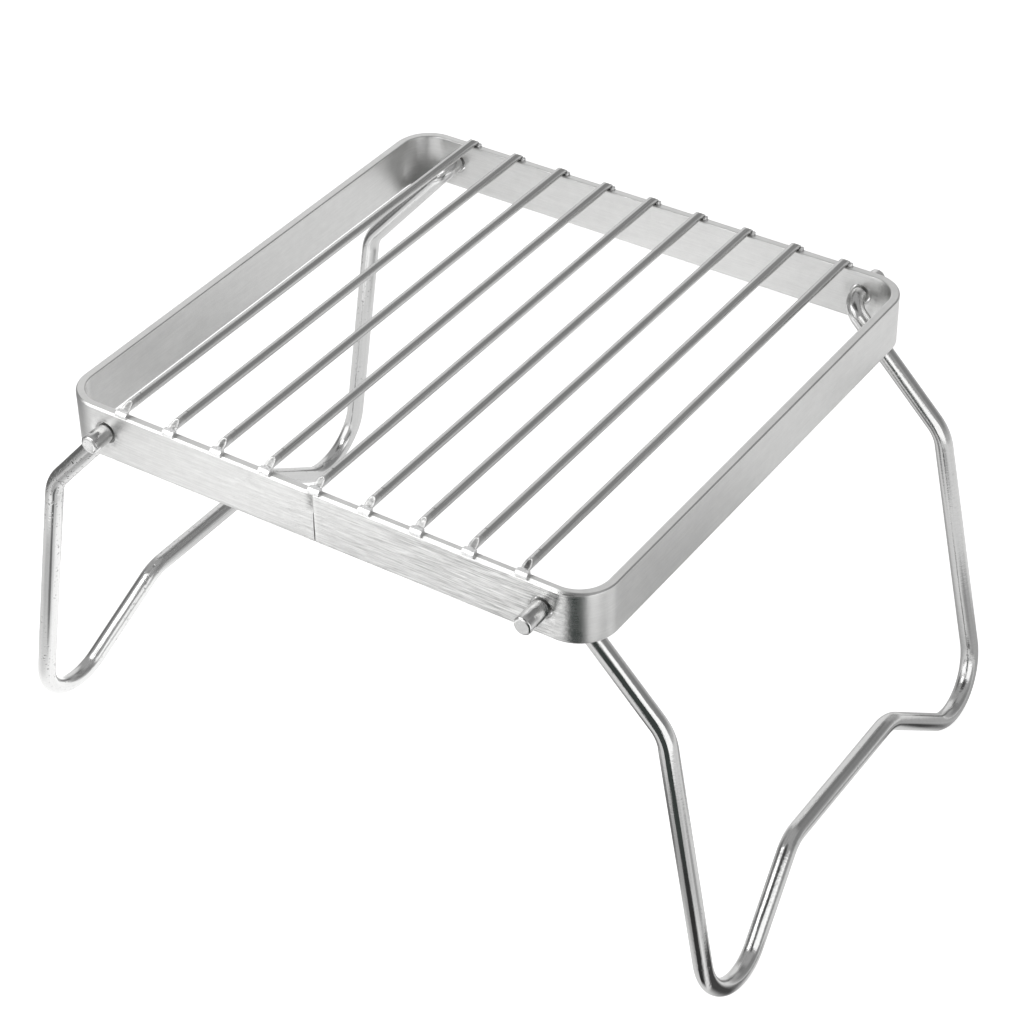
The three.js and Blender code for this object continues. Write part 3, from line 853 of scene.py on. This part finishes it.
def build_leg(key):
    side, pin, elbow, foot, mid = LEGS[key]
    pts = leg_path(side, pin, elbow, foot, mid)
    # chamfered pin ends
    P = [p for p, _, _ in pts]
    B = [w for _, w, _ in pts]
    I = [c for _, _, c in pts]
    ends = [(0.0, 0.62), (0.10, 0.42), (0.24, 0.22), (0.42, 0.07), (0.62, 0.0)]
    d0, d1 = (P[1] - P[0]).normalized(), (P[-2] - P[-1]).normalized()
    R = WIRE_D / 2
    P2 = [P[0] + d0 * a for a, _ in ends] + P[1:-1] + [P[-1] + d1 * a for a, _ in reversed(ends)]
    rad = [R - c for _, c in ends] + [R] * (len(P) - 2) + [R - c for _, c in reversed(ends)]
    B2 = [0.0] * 5 + B[1:-1] + [0.0] * 5
    I2 = [I[0]] * 5 + I[1:-1] + [I[-1]] * 5
    n = len(P2)
    nseg = 44
    s = [0.0]
    for k in range(1, n):
        s.append(s[-1] + (P2[k] - P2[k - 1]).length)
    tan = []
    for k in range(n):
        a, b = P2[max(k - 1, 0)], P2[min(k + 1, n - 1)]
        tan.append((b - a).normalized())
    e = Vector((0, 0, 1)) - tan[0] * tan[0].z
    e.normalize()
    verts, tube, piece, rings = [], [], [], []
    for k in range(n):
        if k:
            e = e - tan[k] * e.dot(tan[k])
            e.normalize()
        f = tan[k].cross(e)
        ring = []
        for q in range(nseg):
            t = 2 * math.pi * q / nseg
            off = e * math.cos(t) + f * math.sin(t)
            rr = rad[k] * (1 + 0.004 * wob(s[k] * 0.12, math.cos(t), math.sin(t), 6.0))
            o = off * rr
            # bending flattens the wire a little in the bend's plane
            c = I2[k]
            a = o.dot(c)
            o = o - c * (a * (0.045 if a > 0 else 0.03) * B2[k])
            ring.append(len(verts))
            verts.append(P2[k] + o)
            tube.append((s[k], math.cos(t), math.sin(t)))
            piece.append((B2[k], 0, 0))
        rings.append(ring)
    faces = []
    for a, b in zip(rings[:-1], rings[1:]):
        for q in range(nseg):
            q2 = (q + 1) % nseg
            faces.append((a[q], b[q], b[q2], a[q2]))
    for ring, centre, out in ((rings[0], P2[0], -tan[0]), (rings[-1], P2[-1], tan[-1])):
        last = ring
        for f_ in (0.82, 0.55, 0.28):
            new = []
            for q in range(nseg):
                v = centre + (verts[ring[q]] - centre) * f_
                t = 2 * math.pi * q / nseg
                v = v - out * (0.05 + 0.05 * wob(v.x * 0.9, v.y, v.z * 0.9, 12.0 + (5 if key == "left" else 0)))
                new.append(len(verts))
                verts.append(v)
                tube.append((s[0] if ring is rings[0] else s[-1], f_ * math.cos(t), f_ * math.sin(t)))
                piece.append((0, 1, 0))
            for q in range(nseg):
                q2 = (q + 1) % nseg
                faces.append((last[q], last[q2], new[q2], new[q]))
            last = new
        faces.append(tuple(last))
    ob = mesh_object(f"leg_{key}_visual", to_world([tuple(v) for v in verts]), faces, sharp=0)
    bm = bmesh.new()
    bm.from_mesh(ob.data)
    bmesh.ops.recalc_face_normals(bm, faces=bm.faces)
    if bm.calc_volume(signed=True) < 0:
        bmesh.ops.reverse_faces(bm, faces=bm.faces)
    bm.to_mesh(ob.data)
    bm.free()
    ob.data.set_sharp_from_angle(angle=math.radians(38))
    attribute(ob, "tube", tube)
    attribute(ob, "piece", piece)
    ob.data.materials.append(MAT_LEG_R if key == "right" else MAT_LEG_L)
    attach(ob, f"{key}_leg")
    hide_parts(f"leg_{key}")
    return ob


for key in LEGS:
    build_leg(key)


# --------------------------------------------------------- floor, light, camera
m_floor, n = material("floor_pale")
fc = n.scale(n.obj(), (1.0, 1.0, 1.0))
fn = n.noise(fc, 3.0, 4, 0.5)
fine = n.noise(fc, 900.0, 2, 0.5)
ft = n.math("ADD", n.math("MULTIPLY", n.math("SUBTRACT", fn, 0.5), 0.01), 0.93)
n.metal(n.combine(ft, ft, ft), 0.75, n.bump(fine, 0.00002, 0.1), metallic=0.0)
bm = bmesh.new()
bmesh.ops.create_grid(bm, x_segments=8, y_segments=8, size=4.0)
me = bpy.data.meshes.new("floor")
bm.to_mesh(me)
bm.free()
floor = bpy.data.objects.new("floor", me)
bpy.context.scene.collection.objects.link(floor)
floor.data.materials.append(m_floor)
for node in m_floor.node_tree.nodes:
    if node.type == "BSDF_PRINCIPLED":
        node.inputs["Emission Color"].default_value = (1.0, 1.0, 1.0, 1.0)
        node.inputs["Emission Strength"].default_value = 0.72      # lit from below, so its shadows stay faint
floor.location = (0, 0, -0.0002)
floor.visible_glossy = False

world = bpy.data.worlds.new("studio")
bpy.context.scene.world = world
world.use_nodes = True
n = Nodes(world.node_tree)
direction = n.new("ShaderNodeTexCoord").outputs["Generated"]
dx, dy, dz = n.split(n.vec("NORMALIZE", direction))
elev = n.math("MULTIPLY", n.math("ARCSINE", dz), 180 / math.pi)

# The studio as the steel sees it. Upper half: soft fields at infinity,
# azimuth 0 towards the front (-Y), + towards +X. Lower half: the sweep below.
value = n.ramp(elev, -14, 10, 0.80, 0.46)


def window(n, v, half, soft):
    return n.ramp(n.math("ABSOLUTE", v), half + soft / 2, half - soft / 2)


def patch(value, az, el, half_az, half_el, soft_az, soft_el, level):
    a = math.radians(az)
    fwd, side = (math.sin(a), -math.cos(a), 0.0), (math.cos(a), math.sin(a), 0.0)
    rel = n.math("MULTIPLY", n.math("ARCTAN2", n.vec("DOT_PRODUCT", direction, side), n.vec("DOT_PRODUCT", direction, fwd)), 180 / math.pi)
    mask = n.math("MULTIPLY", window(n, rel, half_az, soft_az), window(n, n.math("SUBTRACT", elev, el), half_el, soft_el))
    return n.lerp(mask, value, level)


PATCHES = [
    # az, el, half az, half el, softness az, softness el, level
    (0, 64, 46, 14, 24, 12, 0.10),          # dark overhead, front
    (-28, 18, 28, 19, 14, 12, 1.55),        # light, front left
    (-86, 14, 12, 20, 12, 14, 0.18),        # dark flag, left
    (-142, 22, 20, 24, 14, 14, 0.95),       # light, rear left
    (172, 50, 30, 12, 24, 14, 0.26),        # dark, high at the rear
    (126, 31, 32, 18, 20, 16, 0.30),        # grey, rear right
]
for args in PATCHES:
    value = patch(value, *args)
studio = n.combine(value, value, value)
light_path = n.new("ShaderNodeLightPath")
colour = n.mix(light_path.outputs["Is Camera Ray"], studio, (1.30, 1.30, 1.30))
bg = n.new("ShaderNodeBackground")
n.put(bg.inputs["Color"], colour)
bg.inputs["Strength"].default_value = 1.0
out = n.new("ShaderNodeOutputWorld")
world.node_tree.links.new(bg.outputs[0], out.inputs[0])

# key softbox, close over the front left
key = bpy.data.lights.new("key", "AREA")
key.shape, key.size, key.size_y = "RECTANGLE", 0.26, 0.125
key.energy = 2.2 * math.pi * 0.26 * 0.125
key_ob = bpy.data.objects.new("key", key)
bpy.context.scene.collection.objects.link(key_ob)
key_ob.location = (-0.125, -0.1725, 0.277)
key_ob.visible_camera = False


def card(name, corners):
    """A studio card: seen in the steel, and not by the camera."""
    m, k = material("card_" + name)
    me = bpy.data.meshes.new("card_" + name)
    me.from_pydata([tuple(c) for c in corners], [], [(0, 1, 2, 3)])
    ob = bpy.data.objects.new("card_" + name, me)
    bpy.context.scene.collection.objects.link(ob)
    me.materials.append(m)
    ob.visible_camera = ob.visible_diffuse = ob.visible_transmission = ob.visible_shadow = False
    em = k.new("ShaderNodeEmission")
    o = k.new("ShaderNodeOutputMaterial")
    k.t.links.new(em.outputs[0], o.inputs[0])
    return k, em


# a white board at the right front, and a dark stand at its left
k, em = card("board", [(0.160, -0.148, 0.03), (0.440, -0.046, 0.03), (0.440, -0.046, 0.25), (0.160, -0.148, 0.25)])
em.inputs["Strength"].default_value = 1.45
k, em = card("stand", [(0.080, -0.158, 0.0), (0.162, -0.150, 0.0), (0.162, -0.150, 0.14), (0.080, -0.158, 0.14)])
em.inputs["Color"].default_value = (0.86, 1.0, 0.95, 1.0)
em.inputs["Strength"].default_value = 0.07

# what the steel sees of the sweep it stands on (millimetres)
k, em = card("sweep", [(-4, -4, -0.0004), (4, -4, -0.0004), (4, 4, -0.0004), (-4, 4, -0.0004)])
px, py, _ = k.split(k.scale(k.obj(), (1000.0, 1000.0, 1000.0)))
light = k.ramp(k.vec("LENGTH", k.combine(px, py, 0.0)), 350, 900, 0.88, 0.6)
SPOTS = [
    # x, y, half x, half y, softness, level
    (-118, -250, 62, 84, 60, 1.66),        # light from the key
    (-130, -145, 42, 24, 26, 0.68),
    (-80, -48, 62, 44, 30, 1.35),
    (60, 190, 190, 125, 60, 0.92),          # light behind
    (90, 88, 125, 34, 48, 0.50),            # dimmer beside the grill
    (-1125, -50, 880, 150, 60, 0.20),       # dark beyond the left
    (45, -240, 40, 45, 50, 1.05),
    (200, -700, 200, 330, 150, 0.22),       # dark beyond the front
    (38, -60, 26, 60, 40, 0.22),            # under the grill
    (78, -130, 30, 34, 26, 0.52),
    (140, 95, 14, 32, 24, 0.50),
    (165, 40, 28, 24, 30, 0.40),
    (124, 53, 8, 7, 10, 0.07),
]
FANS = [
    # x, y, azimuth, half, softness, r from, r to, softness, level
    (108, -78, 116, 32, 18, 8, 52, 14, 0.08),
    (108, -78, 100, 16, 20, 60, 140, 30, 0.48),
    (110, -78, 60, 8, 14, 6, 60, 14, 1.10),
    (110, -78, 60, 9, 18, 80, 150, 30, 0.66),
    (110, -78, 12, 29, 20, 5, 200, 8, 0.045),
    (-100, -77, 22, 15, 18, 26, 110, 24, 0.20),
]
for cx, cy, hx, hy, soft, level in SPOTS:
    mask = k.math("MULTIPLY", window(k, k.math("SUBTRACT", px, cx), hx, soft), window(k, k.math("SUBTRACT", py, cy), hy, soft))
    light = k.lerp(mask, light, level)
for x0, y0, az, half, soft, r0, r1, soft_r, level in FANS:
    a = math.radians(az)
    away = k.combine(k.math("SUBTRACT", px, x0), k.math("SUBTRACT", py, y0), 0.0)
    ahead, side = k.vec("DOT_PRODUCT", away, (math.sin(a), -math.cos(a), 0.0)), k.vec("DOT_PRODUCT", away, (math.cos(a), math.sin(a), 0.0))
    turn = k.math("MULTIPLY", k.math("ARCTAN2", side, ahead), 180 / math.pi)
    r = k.vec("LENGTH", away)
    reach = k.math("MULTIPLY", k.ramp(r, r0 - soft_r / 2, r0 + soft_r / 2), k.ramp(r, r1 + soft_r / 2, r1 - soft_r / 2))
    light = k.lerp(k.math("MULTIPLY", window(k, turn, half, soft), reach), light, level)
k.put(em.inputs["Strength"], light)

scene = bpy.context.scene
scene.view_settings.view_transform = "Standard"
scene.view_settings.look = "None"

# camera: fitted to the frame's straight edges
AZ, EL, ROLL = math.radians(33.906), math.radians(37.24), math.radians(0.975)
F, CX, CY = 2905.028, 513.046, 511.227
T = np.array([-4.551, -46.444, 776.51])
back = np.array([math.sin(AZ) * math.cos(EL), -math.cos(AZ) * math.cos(EL), math.sin(EL)])
right = np.array([math.cos(AZ), math.sin(AZ), 0.0])
down = np.cross(-back, right)
c, s = math.cos(ROLL), math.sin(ROLL)
R = np.array([c * right + s * down, -s * right + c * down, -back])
eye = to_world(-R.T @ T)
cam_data = bpy.data.cameras.new("camera")
cam = bpy.data.objects.new("camera", cam_data)
scene.collection.objects.link(cam)
rot = np.array([R[0], -R[1], -R[2]]).T
cam.matrix_world = Matrix([[*rot[0], eye[0]], [*rot[1], eye[1]], [*rot[2], eye[2]], [0, 0, 0, 1]])
cam_data.sensor_width = 36.0
cam_data.lens = F * 36.0 / 1024.0
cam_data.shift_x = -(CX - 512.0) / 1024.0
cam_data.shift_y = (CY - 512.0) / 1024.0
cam_data.clip_start, cam_data.clip_end = 0.01, 20.0
scene.camera = cam
